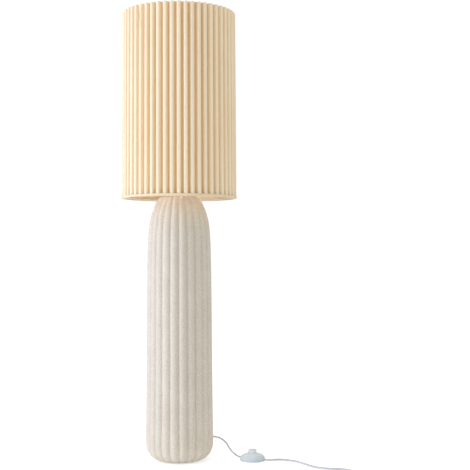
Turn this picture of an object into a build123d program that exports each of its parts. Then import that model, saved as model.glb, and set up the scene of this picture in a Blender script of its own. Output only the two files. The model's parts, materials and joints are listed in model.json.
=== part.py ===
from build123d import *
import math
import os

os.makedirs("parts", exist_ok=True)

# ---------------------------------------------------------------- sizes (mm)
# Origin: on the lamp's axis, on the floor. +Z up, -Y to the front.

# stoneware body
RIBS = 23                  # convex ribs round the body
RIB_VALLEY_AT = -88.2      # azimuth of one valley, degrees
RIB_DEPTH = 5.2            # crest to valley where the body is widest
BODY_R = 93.3              # largest crest radius
BODY_FOOT = 1.5            # underside of the foot, on the felt
BODY_TOP = 743.0           # flat seat for the top plate
WALL = 11.5                # crest to the smooth inside
SEAT_R = 43.4              # rebate for the base plate
FLANGE_R = 38.0            # opening above the base plate

# crest radius of the body at each height
BODY_PROFILE = [
    (1.5, 51.0), (3.0, 61.6), (7.3, 71.9), (14.0, 80.7), (22.9, 87.4),
    (33.4, 91.7), (45.0, 93.3), (82.0, 93.2), (165.0, 92.2), (250.0, 91.2),
    (345.0, 90.6), (440.0, 90.0), (525.0, 89.1), (580.0, 88.0), (615.0, 86.6),
    (640.0, 84.8), (662.0, 81.8), (680.0, 77.6), (697.0, 71.5), (711.0, 65.2),
    (722.0, 58.8), (731.5, 51.2), (738.5, 42.6), (743.0, 32.5),
]

# stem and clamping
TUBE_R = 5.0
TUBE_BORE = 3.8
TUBE_LOW, TUBE_HIGH = 4.0, 762.0
PLATE_LOW, PLATE_T = 7.5, 4.0
WEIGHT_R, WEIGHT_H = 36.0, 70.0

# cord entry
CORD_D = 5.2
ENTRY_AZ = 44.0            # azimuth of the bushing, degrees
ENTRY_Z = 46.5
RELIEF_END = 113.0         # radius at which the strain relief ends

# lampholder
HOLDER_LOW = 752.0
SHOULDER = 780.0           # the shade's fitter rests here
SKIRT_R = 19.5
SKIRT_TOP = 812.0

# shade
SHADE_LOW, SHADE_HIGH = 724.7, 1240.2
SHADE_R_LOW, SHADE_R_HIGH = 160.0, 157.8
PLEATS = 53
PLEAT_VALLEY_AT = -90.35
PLEAT_DEPTH = 12.0
LINER_T = 0.8

# foot switch
SW_X, SW_Y, SW_AZ = 202.3, -15.0, -27.0
SW_R = 34.5
SW_TOP = 20.6
SW_CORD_Z = 5.2
BUTTON_R = 11.2
BUTTON_TOP = 30.5
BUTTON_TRAVEL = 3.0

# coil of the spare cord, and its plug
COIL_X, COIL_Y = 431.4, -256.0
COIL_R = 29.4              # middle of the turns
COIL_HALF = 8.0            # half the bundle's width
COIL_LOW, COIL_HIGH = 1.0, 16.8
PLUG_X, PLUG_Y, PLUG_Z = 368.0, -292.0, 7.0


def rad(a):
    return math.radians(a)


def at_az(r, a, z=0.0):
    return (r * math.cos(rad(a)), r * math.sin(rad(a)), z)


def radial_plane(a, z=0.0):
    # local x points outward at azimuth a, local y points up
    return Plane(origin=(0, 0, z), x_dir=at_az(1, a), z_dir=(math.sin(rad(a)), -math.cos(rad(a)), 0))


def ribbed_ring(crest_r, depth):
    # closed outline of convex ribs that meet in narrow valleys
    pitch = 360.0 / RIBS
    valley = crest_r - depth
    for i in range(RIBS):
        a = RIB_VALLEY_AT + i * pitch
        ThreePointArc(at_az(valley, a)[:2], at_az(crest_r, a + pitch / 2)[:2], at_az(valley, a + pitch)[:2])


def pleated_ring(crest_r, depth):
    # closed outline of rounded pleats with steep flanks
    pitch = 360.0 / PLEATS
    valley = crest_r - depth
    knee = valley + 0.62 * depth
    for i in range(PLEATS):
        a = PLEAT_VALLEY_AT + i * pitch
        v0, v1 = at_az(valley, a)[:2], at_az(valley, a + pitch)[:2]
        k0, k1 = at_az(knee, a + 0.17 * pitch)[:2], at_az(knee, a + 0.83 * pitch)[:2]
        Line(v0, k0)
        ThreePointArc(k0, at_az(crest_r, a + pitch / 2)[:2], k1)
        Line(k1, v1)


def corner_radii(points, label):
    # 0.45 of the shorter run over the tangent of half the turn
    out = []
    for i in range(1, len(points) - 1):
        a, b, c = Vector(points[i - 1]), Vector(points[i]), Vector(points[i + 1])
        turn = (b - a).get_angle(c - b)
        out.append(0.45 * min((b - a).length, (c - b).length) / math.tan(rad(turn) / 2))
    print(label, "radii", [round(r, 1) for r in out])
    return out


def report_tube(label, part, path_length, d=CORD_D):
    want = math.pi * d * d / 4 * path_length
    print(label, "length", round(path_length, 1), "volume", round(part.volume, 1), "section x length", round(want, 1))


# ================================================================ stoneware
with BuildPart() as ceramic_body:
    for z, r in BODY_PROFILE:
        with BuildSketch(Plane.XY.offset(z)):
            with BuildLine():
                ribbed_ring(r, RIB_DEPTH * r / BODY_R)
            make_face()
    loft()
    # smooth cavity
    with BuildSketch(Plane.XZ):
        with BuildLine():
            Polyline((0, 20), (62, 20), (74, 27), (80, 37), (BODY_R - WALL, 50))
            Spline((BODY_R - WALL, 50), (79.7, 250), (78.5, 440), (76.5, 580), (73.3, 640), (66.0, 680), (53.6, 711),
                   tangents=[(0, 1), (-0.72, 0.69)])
            Polyline((53.6, 711), (46.0, 719), (34.0, 727), (22.0, 731), (0, 731), (0, 20))
        make_face()
    revolve(axis=Axis.Z, mode=Mode.SUBTRACT)
    # opening of the foot and the rebate for the base plate
    with BuildSketch(Plane.XY.offset(BODY_FOOT)):
        Circle(FLANGE_R)
    extrude(amount=20, mode=Mode.SUBTRACT)
    with BuildSketch(Plane.XY.offset(BODY_FOOT)):
        Circle(SEAT_R)
    extrude(amount=PLATE_LOW + PLATE_T - BODY_FOOT, mode=Mode.SUBTRACT)
    # hole for the tube
    with BuildSketch(Plane.XY.offset(BODY_TOP - 20)):
        Circle(6.2)
    extrude(amount=24, mode=Mode.SUBTRACT)
    # cord hole with a spot-faced seat
    with BuildSketch(Plane(origin=at_az(70, ENTRY_AZ, ENTRY_Z), z_dir=at_az(1, ENTRY_AZ))):
        Circle(5.2)
    extrude(amount=30, mode=Mode.SUBTRACT)
    with BuildSketch(Plane(origin=at_az(92.0, ENTRY_AZ, ENTRY_Z), z_dir=at_az(1, ENTRY_AZ))):
        Circle(7.6)
    extrude(amount=6, mode=Mode.SUBTRACT)
ceramic_body.part.label = "ceramic_body"

# ================================================================ foot
with BuildPart() as base_felt:
    with BuildSketch():
        Circle(48.0)
    extrude(amount=BODY_FOOT)
    chamfer(base_felt.edges().group_by(Axis.Z)[-1], 0.3)
base_felt.part.label = "base_felt"

with BuildPart() as base_plate:
    with BuildSketch(Plane.XY.offset(PLATE_LOW)):
        Circle(SEAT_R - 0.3)
        Circle(TUBE_R + 0.15, mode=Mode.SUBTRACT)
    extrude(amount=PLATE_T)
    chamfer(base_plate.edges().filter_by(GeomType.CIRCLE).sort_by(SortBy.RADIUS)[-2:], 0.5)
base_plate.part.label = "base_plate"

with BuildPart() as counterweight:
    with BuildSketch(Plane.XY.offset(PLATE_LOW + PLATE_T)):
        Circle(WEIGHT_R)
        Circle(TUBE_R + 0.6, mode=Mode.SUBTRACT)
    extrude(amount=WEIGHT_H)
    fillet(counterweight.edges().filter_by(GeomType.CIRCLE).sort_by(SortBy.RADIUS)[-2:], 2.5)
counterweight.part.label = "counterweight"

with BuildPart() as centre_tube:
    with BuildSketch(Plane.XY.offset(TUBE_LOW)):
        Circle(TUBE_R)
        Circle(TUBE_BORE, mode=Mode.SUBTRACT)
    extrude(amount=TUBE_HIGH - TUBE_LOW)
    # slot through which the lead enters the bore
    with BuildSketch(Plane(origin=at_az(0, ENTRY_AZ, 130), x_dir=at_az(1, ENTRY_AZ + 90), z_dir=at_az(1, ENTRY_AZ))):
        SlotOverall(38, 6.4, rotation=90)
    extrude(amount=TUBE_R + 1, mode=Mode.SUBTRACT)
centre_tube.part.label = "centre_tube"

with BuildPart() as bottom_nut:
    with BuildSketch(Plane.XY.offset(PLATE_LOW - 3.5)):
        RegularPolygon(radius=7.0, side_count=6, major_radius=False)
        Circle(TUBE_R + 0.02, mode=Mode.SUBTRACT)
    extrude(amount=3.5)
bottom_nut.part.label = "bottom_nut"

# ================================================================ top clamp
with BuildPart() as top_gasket:
    with BuildSketch(Plane.XY.offset(BODY_TOP)):
        Circle(27.0)
        Circle(8.0, mode=Mode.SUBTRACT)
    extrude(amount=1.5)
top_gasket.part.label = "top_gasket"

with BuildPart() as top_plate:
    with BuildSketch(Plane.XY.offset(BODY_TOP + 1.5)):
        Circle(29.0)
        Circle(TUBE_R + 0.15, mode=Mode.SUBTRACT)
    extrude(amount=3.0)
    fillet(top_plate.edges().group_by(Axis.Z)[-1].sort_by(SortBy.RADIUS)[-1], 1.4)
top_plate.part.label = "top_plate"

with BuildPart() as top_nut:
    with BuildSketch(Plane.XY.offset(BODY_TOP + 4.5)):
        RegularPolygon(radius=7.5, side_count=6, major_radius=False)
        Circle(TUBE_R + 0.02, mode=Mode.SUBTRACT)
    extrude(amount=4.0)
top_nut.part.label = "top_nut"

# ================================================================ cord entry
with BuildPart() as cord_bushing:
    with BuildSketch(radial_plane(ENTRY_AZ, ENTRY_Z)):
        with BuildLine():
            Polyline(
                (75.5, 2.75), (75.5, 4.9), (92.0, 4.9), (92.0, 7.2), (93.0, 7.2), (93.6, 5.6),
                (96.0, 5.5), (96.0, 4.4), (97.2, 4.4), (97.2, 5.3),
                (99.8, 5.1), (99.8, 4.2), (101.0, 4.2), (101.0, 4.95),
                (103.6, 4.75), (103.6, 4.0), (104.8, 4.0), (104.8, 4.6),
                (RELIEF_END, 4.0), (RELIEF_END, 2.75), (75.5, 2.75),
            )
        make_face()
    revolve(axis=Axis((0, 0, ENTRY_Z), at_az(1, ENTRY_AZ)))
cord_bushing.part.label = "cord_bushing"

with BuildPart() as bushing_nut:
    with BuildSketch(Plane(origin=at_az(77.0, ENTRY_AZ, ENTRY_Z), z_dir=at_az(1, ENTRY_AZ))):
        RegularPolygon(radius=7.5, side_count=6, major_radius=False)
        Circle(4.92, mode=Mode.SUBTRACT)
    extrude(amount=3.2)
bushing_nut.part.label = "bushing_nut"

with BuildPart() as lead_clamp:
    with BuildSketch(Plane(origin=at_az(68.5, ENTRY_AZ, ENTRY_Z), x_dir=at_az(1, ENTRY_AZ + 90), z_dir=at_az(1, ENTRY_AZ))):
        RectangleRounded(13, 10, 2)
        Circle(CORD_D / 2 + 0.05, mode=Mode.SUBTRACT)
    extrude(amount=6)
lead_clamp.part.label = "lead_clamp"

# lead inside the body: in through the bushing, up beside the weight, into the slotted tube
lead_points = [
    at_az(RELIEF_END, ENTRY_AZ, ENTRY_Z), at_az(46.0, ENTRY_AZ, ENTRY_Z), at_az(46.0, ENTRY_AZ, 112.0),
    at_az(0, ENTRY_AZ, 129.0), at_az(0, ENTRY_AZ, 766.0),
]
with BuildPart() as inner_lead:
    with BuildLine() as lead_route:
        FilletPolyline(*lead_points, radius=[21, 21, 24])
    with BuildSketch(Plane(origin=lead_points[0], z_dir=at_az(-1, ENTRY_AZ))):
        Circle(CORD_D / 2)
    sweep()
inner_lead.part.label = "inner_lead"
report_tube("inner_lead", inner_lead.part, lead_route.wires()[0].length)

# ================================================================ lampholder
with BuildPart() as holder_cap:
    with BuildSketch(Plane.XZ):
        with BuildLine():
            Polyline(
                (TUBE_R + 0.05, HOLDER_LOW), (9.0, HOLDER_LOW), (9.6, HOLDER_LOW + 0.6), (9.6, 758.5),
                (15.5, 761.0), (19.8, 766.0), (21.0, 771.0), (21.0, 776.0), (19.0, 776.0), (19.0, 771.5),
                (17.6, 767.5), (14.0, 763.6), (TUBE_R + 0.05, 762.0), (TUBE_R + 0.05, HOLDER_LOW),
            )
        make_face()
    revolve(axis=Axis.Z)
    with BuildSketch(Plane(origin=(0, 0, 755.5), x_dir=(0, 1, 0), z_dir=(1, 0, 0))):
        Circle(1.6)
    extrude(amount=12, mode=Mode.SUBTRACT)
holder_cap.part.label = "holder_cap"

with BuildPart() as holder_grub_screw:
    with BuildSketch(Plane(origin=(TUBE_R + 0.1, 0, 755.5), x_dir=(0, 1, 0), z_dir=(1, 0, 0))):
        Circle(1.5)
    extrude(amount=4.6)
    with BuildSketch(Plane(origin=(TUBE_R + 4.7, 0, 755.5), x_dir=(0, 1, 0), z_dir=(1, 0, 0))):
        Rectangle(3.2, 0.5)
    extrude(amount=-0.9, mode=Mode.SUBTRACT)
holder_grub_screw.part.label = "holder_grub_screw"

with BuildPart() as holder_shell:
    with BuildSketch(Plane.XZ):
        with BuildLine():
            outer = [(21.2, 776.0), (23.0, 776.6), (23.0, SHOULDER), (18.7, SHOULDER)]
            z = SHOULDER + 0.8
            while z + 2.5 < SKIRT_TOP - 1:
                outer += [(18.7, z), (SKIRT_R, z + 0.8), (SKIRT_R, z + 1.4), (18.7, z + 2.2)]
                z += 2.5
            outer += [(18.7, SKIRT_TOP - 0.8), (18.0, SKIRT_TOP), (16.0, SKIRT_TOP), (15.4, SKIRT_TOP - 0.8), (15.4, 776.0)]
            Polyline(*outer, close=True)
        make_face()
    revolve(axis=Axis.Z)
holder_shell.part.label = "holder_shell"

with BuildPart() as holder_insert:
    with BuildSketch(Plane.XY.offset(768.5)):
        Circle(15.2)
        Circle(2.9, mode=Mode.SUBTRACT)
    extrude(amount=6.0)
    with BuildSketch(Plane.XY.offset(774.5)):
        Circle(15.2)
    extrude(amount=3.5)
    with BuildSketch(Plane.XY.offset(778.0)):
        Circle(15.2)
        Circle(14.2, mode=Mode.SUBTRACT)
    extrude(amount=31.0)
    with BuildSketch(Plane.XY.offset(768.5)):
        with Locations((9, 0), (-9, 0)):
            Circle(2.0)
    extrude(amount=2.5, mode=Mode.SUBTRACT)
holder_insert.part.label = "holder_insert"

with BuildPart() as holder_thread_sleeve:
    with BuildSketch(Plane.XY.offset(784.0)):
        Circle(14.1)
        Circle(13.5, mode=Mode.SUBTRACT)
    extrude(amount=24.0)
holder_thread_sleeve.part.label = "holder_thread_sleeve"

with BuildPart() as holder_centre_contact:
    with BuildSketch(Plane.XZ):
        with BuildLine():
            Polyline((9.0, 778.0), (9.0, 778.6), (5.0, 778.8), (2.2, 782.2), (-3.0, 782.9), (-3.0, 782.4),
                     (1.9, 781.7), (4.4, 778.0), (9.0, 778.0))
        make_face()
    extrude(amount=2.2, both=True)
holder_centre_contact.part.label = "holder_centre_contact"

with BuildPart() as holder_terminal_screws:
    with BuildSketch(Plane.XY.offset(766.6)):
        with Locations((9, 0), (-9, 0)):
            Circle(1.8)
    extrude(amount=4.2)
    with BuildSketch(Plane.XY.offset(766.6)):
        with Locations((9, 0), (-9, 0)):
            Rectangle(3.8, 0.6)
    extrude(amount=0.8, mode=Mode.SUBTRACT)
holder_terminal_screws.part.label = "holder_terminal_screws"

# ================================================================ bulb
with BuildPart() as bulb_cap:
    with BuildSketch(Plane.XZ):
        with BuildLine():
            outer = [(4.4, 785.2), (9.0, 785.6), (11.4, 787.4)]
            z = 788.0
            while z + 3.6 < 807.5:
                outer += [(12.2, z), (13.1, z + 1.2), (13.1, z + 2.0), (12.2, z + 3.2)]
                z += 3.6
            outer += [(12.6, 808.0), (13.1, 809.5), (13.1, 812.4), (12.4, 812.4), (11.6, 808.0), (11.6, 790.0), (9.0, 787.0), (4.4, 786.4)]
            Polyline(*outer, close=True)
        make_face()
    revolve(axis=Axis.Z)
bulb_cap.part.label = "bulb_cap"

with BuildPart() as bulb_contact:
    with BuildSketch(Plane.XZ):
        with BuildLine():
            Polyline((0, 783.2), (3.2, 783.6), (4.3, 784.8), (4.3, 787.5), (0, 787.5), (0, 783.2))
        make_face()
    revolve(axis=Axis.Z)
bulb_contact.part.label = "bulb_contact"

with BuildPart() as bulb_housing:
    with BuildSketch(Plane.XZ):
        with BuildLine():
            Polyline((11.5, 808.5), (11.5, 813.0), (15.2, 813.0), (15.6, 818.0))
            Spline((15.6, 818.0), (19.2, 828.0), (25.6, 841.0), (29.2, 853.0), tangents=[(0.15, 1), (0.2, 1)])
            Polyline((29.2, 853.0), (27.6, 853.0), (24.0, 842.0), (17.6, 829.0), (13.9, 818.0), (10.0, 812.0), (10.0, 808.5), (11.5, 808.5))
        make_face()
    revolve(axis=Axis.Z)
bulb_housing.part.label = "bulb_housing"

with BuildPart() as bulb_board:
    with BuildSketch(Plane.XY.offset(850.6)):
        Circle(26.2)
    extrude(amount=1.6)
    with BuildSketch(Plane.XY.offset(852.2)):
        with PolarLocations(17, 10):
            Rectangle(3.5, 2.8)
    extrude(amount=0.8)
bulb_board.part.label = "bulb_board"

with BuildPart() as bulb_diffuser:
    with BuildSketch(Plane.XZ):
        with BuildLine():
            Spline((29.4, 853.1), (29.6, 866.0), (24.2, 881.0), (12.0, 890.6), (0, 893.0), tangents=[(0.1, 1), (-1, 0)])
            Line((0, 893.0), (0, 891.8))
            Spline((0, 891.8), (11.5, 889.5), (23.2, 880.2), (28.4, 866.0), (28.2, 853.1), tangents=[(1, 0), (-0.1, -1)])
            Line((28.2, 853.1), (29.4, 853.1))
        make_face()
    revolve(axis=Axis.Z)
bulb_diffuser.part.label = "bulb_diffuser"

# ================================================================ shade
VALLEY_LOW = SHADE_R_LOW - PLEAT_DEPTH
VALLEY_HIGH = SHADE_R_HIGH - PLEAT_DEPTH
LINER_LOW = VALLEY_LOW - 0.9      # outside of the liner
LINER_HIGH = VALLEY_HIGH - 0.9

with BuildPart() as shade_pleats:
    with BuildSketch(Plane.XY.offset(SHADE_LOW + 0.8)):
        with BuildLine():
            pleated_ring(SHADE_R_LOW, PLEAT_DEPTH)
        make_face()
    with BuildSketch(Plane.XY.offset(SHADE_HIGH)):
        with BuildLine():
            pleated_ring(SHADE_R_HIGH, PLEAT_DEPTH)
        make_face()
    loft(ruled=True)
    with BuildSketch(Plane.XZ):
        with BuildLine():
            Polyline((0, SHADE_LOW), (LINER_LOW + 0.15, SHADE_LOW), (LINER_HIGH + 0.15, SHADE_HIGH + 1),
                     (0, SHADE_HIGH + 1), (0, SHADE_LOW))
        make_face()
    revolve(axis=Axis.Z, mode=Mode.SUBTRACT)
shade_pleats.part.label = "shade_pleats"

with BuildPart() as shade_liner:
    with BuildSketch(Plane.XZ):
        with BuildLine():
            Polyline((LINER_LOW - LINER_T, SHADE_LOW + 0.8), (LINER_LOW, SHADE_LOW + 0.8),
                     (LINER_HIGH, SHADE_HIGH - 0.6), (LINER_HIGH - LINER_T, SHADE_HIGH - 0.6), close=True)
        make_face()
    revolve(axis=Axis.Z)
shade_liner.part.label = "shade_liner"

# band along the lower rim: up the pleats' outside and under them to the liner
with BuildPart() as shade_band:
    with BuildSketch(Plane.XZ):
        with BuildLine():
            Polyline((LINER_LOW - LINER_T, SHADE_LOW), (SHADE_R_LOW + 0.7, SHADE_LOW), (SHADE_R_LOW + 0.7, SHADE_LOW + 6.6),
                     (SHADE_R_LOW + 0.1, SHADE_LOW + 6.6), (SHADE_R_LOW + 0.1, SHADE_LOW + 0.7), (LINER_LOW - LINER_T, SHADE_LOW + 0.7),
                     close=True)
        make_face()
    revolve(axis=Axis.Z)
shade_band.part.label = "shade_band"

RING_LOW_R = LINER_LOW - LINER_T - 2.2
RING_HIGH_R = LINER_HIGH - LINER_T - 2.2
with BuildPart() as shade_lower_ring:
    with BuildSketch(Plane.XZ):
        with Locations((RING_LOW_R, SHADE_LOW + 4.0)):
            Circle(2.0)
    revolve(axis=Axis.Z)
shade_lower_ring.part.label = "shade_lower_ring"

with BuildPart() as shade_upper_ring:
    with BuildSketch(Plane.XZ):
        with Locations((RING_HIGH_R, SHADE_HIGH - 4.0)):
            Circle(2.0)
    revolve(axis=Axis.Z)
shade_upper_ring.part.label = "shade_upper_ring"

FITTER_Z = SHOULDER + 0.1
with BuildPart() as shade_fitter:
    with BuildSketch(Plane.XY.offset(FITTER_Z)):
        Circle(30.0)
        Circle(20.6, mode=Mode.SUBTRACT)
    extrude(amount=2.0)
    fillet(shade_fitter.edges().filter_by(GeomType.CIRCLE).sort_by(SortBy.RADIUS)[-2:], 0.6)
shade_fitter.part.label = "shade_fitter"

# three wires from the fitter down to the lower ring
ARM_AZ = (90.0, 210.0, 330.0)
ARM_R = 1.7
arm_profile = [(28.5, FITTER_Z - ARM_R - 0.02), (52.0, FITTER_Z - ARM_R - 0.02), (RING_LOW_R - 16.0, SHADE_LOW + 20.0), (RING_LOW_R - 3.75, SHADE_LOW + 4.0)]
with BuildPart() as shade_arms:
    for a in ARM_AZ:
        with BuildLine() as arm_line:
            FilletPolyline(*[at_az(r, a, z) for r, z in arm_profile], radius=[14, 10])
        with BuildSketch(Plane(origin=at_az(arm_profile[0][0], a, arm_profile[0][1]), z_dir=at_az(1, a))):
            Circle(ARM_R)
        sweep()
shade_arms.part.label = "shade_arms"

with BuildPart() as retaining_ring:
    with BuildSketch(Plane.XY.offset(FITTER_Z + 2.1)):
        Circle(26.0)
        Circle(SKIRT_R + 0.08, mode=Mode.SUBTRACT)
    extrude(amount=10.0)
    fillet(retaining_ring.edges().filter_by(GeomType.CIRCLE).sort_by(SortBy.RADIUS)[-2:], 0.8)
    with BuildSketch(Plane.XY.offset(FITTER_Z + 2.1)):
        with PolarLocations(26.6, 30):
            Circle(1.3)
    extrude(amount=10.0, mode=Mode.SUBTRACT)
retaining_ring.part.label = "retaining_ring"

# ================================================================ foot switch
SW_DIR = at_az(1, SW_AZ)


def sw_plane(z=0.0):
    return Plane(origin=(SW_X, SW_Y, z), x_dir=SW_DIR, z_dir=(0, 0, 1))


def sw_side():
    # local x along the cord, local y up
    return Plane(origin=(SW_X, SW_Y, 0), x_dir=SW_DIR, z_dir=(SW_DIR[1], -SW_DIR[0], 0))


def sw_across(x):
    # plane across the cord at local x, local x of the plane along the switch's y
    o = (SW_X + x * SW_DIR[0], SW_Y + x * SW_DIR[1], 0)
    return Plane(origin=o, x_dir=at_az(1, SW_AZ + 90), z_dir=SW_DIR)


SW_AXIS = Axis((SW_X, SW_Y, 0), (0, 0, 1))

with BuildPart() as switch_base:
    with BuildSketch(sw_plane(0.8)):
        Circle(33.0)
    extrude(amount=1.6)
    with BuildSketch(sw_plane(2.4)):
        Circle(2.1)
        with PolarLocations(24.0, 2, start_angle=90):
            Circle(3.2)
    extrude(amount=6.4)
    # screw holes, countersunk from below
    with BuildSketch(sw_plane(0.8)):
        with PolarLocations(24.0, 2, start_angle=90):
            Circle(1.6)
    extrude(amount=8.0, mode=Mode.SUBTRACT)
    with BuildSketch(sw_plane(0.8)):
        with PolarLocations(24.0, 2, start_angle=90):
            Circle(2.9)
    extrude(amount=1.3, mode=Mode.SUBTRACT)
switch_base.part.label = "switch_base"

with BuildPart() as switch_cover:
    with BuildSketch(sw_side()):
        with BuildLine():
            Polyline((11.55, SW_TOP), (12.2, SW_TOP + 0.2), (13.2, SW_TOP - 0.1))
            Spline((13.2, SW_TOP - 0.1), (20.0, 18.6), (26.5, 15.9), (31.5, 12.2), (34.0, 8.6), (SW_R, 6.0),
                   tangents=[(1, -0.2), (0.05, -1)])
            Polyline((SW_R, 6.0), (34.4, 3.0), (34.0, 0.9), (33.3, 0.9), (33.3, 2.6), (32.3, 2.6), (32.8, 6.0))
            Spline((32.8, 6.0), (32.2, 8.0), (30.0, 11.0), (25.6, 14.2), (19.5, 16.8), (11.55, 18.8), tangents=[(-0.05, 1), (-1, 0.2)])
            Line((11.55, 18.8), (11.55, SW_TOP))
        make_face()
    revolve(axis=SW_AXIS)
    # cord openings at both ends
    with BuildSketch(sw_across(-38)):
        with Locations((0, SW_CORD_Z)):
            Circle(CORD_D / 2 + 0.15)
    extrude(amount=76, mode=Mode.SUBTRACT)
    # small moulded dimple on the shoulder
    with Locations((SW_X - 14.5, SW_Y - 28.3, 12.1)):
        Sphere(1.2, mode=Mode.SUBTRACT)
switch_cover.part.label = "switch_cover"

with BuildPart() as switch_feet:
    with BuildSketch(sw_plane(0)):
        with PolarLocations(26.0, 4, start_angle=45):
            Circle(4.0)
    extrude(amount=0.8)
switch_feet.part.label = "switch_feet"

with BuildPart() as switch_button:
    with BuildSketch(sw_side()):
        with BuildLine():
            Polyline((0, 27.8), (9.2, 27.4), (9.2, 13.6), (13.2, 13.6), (13.2, 15.2), (BUTTON_R, 15.2), (BUTTON_R, 29.1))
            ThreePointArc((BUTTON_R, 29.1), (BUTTON_R - 0.4, 29.9), (BUTTON_R - 1.2, 30.2))
            Line((BUTTON_R - 1.2, 30.2), (0, BUTTON_TOP))
            Line((0, BUTTON_TOP), (0, 27.8))
        make_face()
    revolve(axis=SW_AXIS)
switch_button.part.label = "switch_button"

SPRING_LOW, SPRING_HIGH = 8.7, 27.4
with BuildPart() as switch_spring:
    with BuildLine():
        Helix(pitch=2.9, height=SPRING_HIGH - SPRING_LOW - 0.8, radius=5.2, center=(SW_X, SW_Y, SPRING_LOW + 0.4))
    with BuildSketch(Plane(origin=(SW_X + 5.2, SW_Y, SPRING_LOW + 0.4), z_dir=(0, 1, 0.0888))):
        Circle(0.35)
    sweep(is_frenet=True)
switch_spring.part.label = "switch_spring"

with BuildPart() as switch_rotor:
    with BuildSketch(sw_plane(4.4)):
        Circle(7.2)
        with PolarLocations(7.2, 4):
            Circle(1.8)
        Circle(2.16, mode=Mode.SUBTRACT)
    extrude(amount=4.2)
switch_rotor.part.label = "switch_rotor"

with BuildPart() as switch_contacts:
    with BuildSketch(sw_plane(2.45)):
        with Locations((0, 10.6), (0, -10.6)):
            Rectangle(9.0, 1.0)
    extrude(amount=7.0)
    with BuildSketch(sw_plane(2.45)):
        with Locations((-4.0, 12.6), (4.0, -12.6)):
            Rectangle(1.0, 5.0)
    extrude(amount=7.0)
switch_contacts.part.label = "switch_contacts"

with BuildPart() as switch_terminals:
    with BuildSketch(sw_plane(2.45)):
        with Locations((-15.0, 5.6), (15.0, -5.6), (-15.0, -5.6), (15.0, 5.6)):
            Rectangle(7.0, 4.6)
    extrude(amount=7.0)
    with BuildSketch(sw_plane(9.45)):
        with Locations((-15.0, 5.6), (15.0, -5.6), (-15.0, -5.6), (15.0, 5.6)):
            Circle(1.5)
    extrude(amount=-4.0, mode=Mode.SUBTRACT)
switch_terminals.part.label = "switch_terminals"

with BuildPart() as switch_terminal_screws:
    with BuildSketch(sw_plane(5.6)):
        with Locations((-15.0, 5.6), (15.0, -5.6), (-15.0, -5.6), (15.0, 5.6)):
            Circle(1.35)
    extrude(amount=4.6)
switch_terminal_screws.part.label = "switch_terminal_screws"

with BuildPart() as switch_cord_clamps:
    for x in (-24.0, 24.0):
        with BuildSketch(sw_across(x - 2.5)):
            with Locations((0, 8.6)):
                Rectangle(13.0, 5.2)
            with Locations((0, SW_CORD_Z)):
                Circle(CORD_D / 2 + 0.05, mode=Mode.SUBTRACT)
        extrude(amount=5.0)
switch_cord_clamps.part.label = "switch_cord_clamps"

with BuildPart() as switch_screws:
    with BuildSketch(sw_plane(0.9)):
        with PolarLocations(24.0, 2, start_angle=90):
            Circle(2.8)
    extrude(amount=1.1)
    with BuildSketch(sw_plane(2.0)):
        with PolarLocations(24.0, 2, start_angle=90):
            Circle(1.5)
    extrude(amount=6.6)
    with BuildSketch(sw_plane(0.9)):
        with PolarLocations(24.0, 2, start_angle=90):
            Rectangle(3.6, 0.7)
            Rectangle(0.7, 3.6)
    extrude(amount=0.7, mode=Mode.SUBTRACT)
switch_screws.part.label = "switch_screws"

# ================================================================ cord
tip = at_az(RELIEF_END, ENTRY_AZ, ENTRY_Z)
sw_in = (SW_X - 22.0 * SW_DIR[0], SW_Y - 22.0 * SW_DIR[1], SW_CORD_Z)
sw_in_mouth = (SW_X - 39.5 * SW_DIR[0], SW_Y - 39.5 * SW_DIR[1], SW_CORD_Z)
base_points = [
    tip,
    at_az(RELIEF_END + 15.0, ENTRY_AZ, ENTRY_Z),
    (106.0, 93.6, 43.2),
    (119.8, 91.5, 36.4),
    (130.3, 82.1, 27.8),
    (136.0, 67.0, 20.6),
    (141.5, 52.5, 15.4),
    (148.0, 38.0, 11.2),
    (156.0, 20.5, 7.8),
    sw_in_mouth,
    sw_in,
]
with BuildPart() as cord_base_run:
    with BuildLine() as base_route:
        FilletPolyline(*base_points, radius=corner_radii(base_points, "cord_base_run"))
    with BuildSketch(Plane(origin=base_points[0], z_dir=Vector(base_points[1]) - Vector(base_points[0]))):
        Circle(CORD_D / 2)
    sweep()
cord_base_run.part.label = "cord_base_run"
report_tube("cord_base_run", cord_base_run.part, base_route.wires()[0].length)

sw_out = (SW_X + 24.0 * SW_DIR[0], SW_Y + 24.0 * SW_DIR[1], SW_CORD_Z)
sw_out_mouth = (SW_X + 38.0 * SW_DIR[0], SW_Y + 38.0 * SW_DIR[1], SW_CORD_Z)
coil_entry = (466.0, -242.0, 3.7)
switch_points = [
    sw_out,
    sw_out_mouth,
    (249.3, -35.9, 5.0),
    (261.9, -33.3, 5.0),
    (275.2, -26.7, 4.6),
    (289.5, -25.6, 3.5),
    (304.2, -29.6, 2.8),
    (318.2, -39.6, 2.7),
    (330.2, -54.3, 2.7),
    (342.2, -74.0, 2.7),
    (355.2, -97.0, 2.7),
    (371.5, -117.0, 2.7),
    (392.5, -132.0, 2.7),
    (414.0, -140.2, 2.7),
    (431.5, -142.8, 2.7),
    (447.5, -147.0, 2.7),
    (459.6, -157.2, 2.7),
    (465.6, -171.6, 2.7),
    (466.6, -188.0, 2.7),
    (466.2, -206.0, 2.8),
    (466.3, -224.0, 3.2),
    coil_entry,
]
with BuildPart() as cord_switch_run:
    with BuildLine() as switch_route:
        FilletPolyline(*switch_points, radius=corner_radii(switch_points, "cord_switch_run"))
    with BuildSketch(Plane(origin=switch_points[0], z_dir=Vector(switch_points[1]) - Vector(switch_points[0]))):
        Circle(CORD_D / 2)
    sweep()
cord_switch_run.part.label = "cord_switch_run"
report_tube("cord_switch_run", cord_switch_run.part, switch_route.wires()[0].length)

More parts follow.
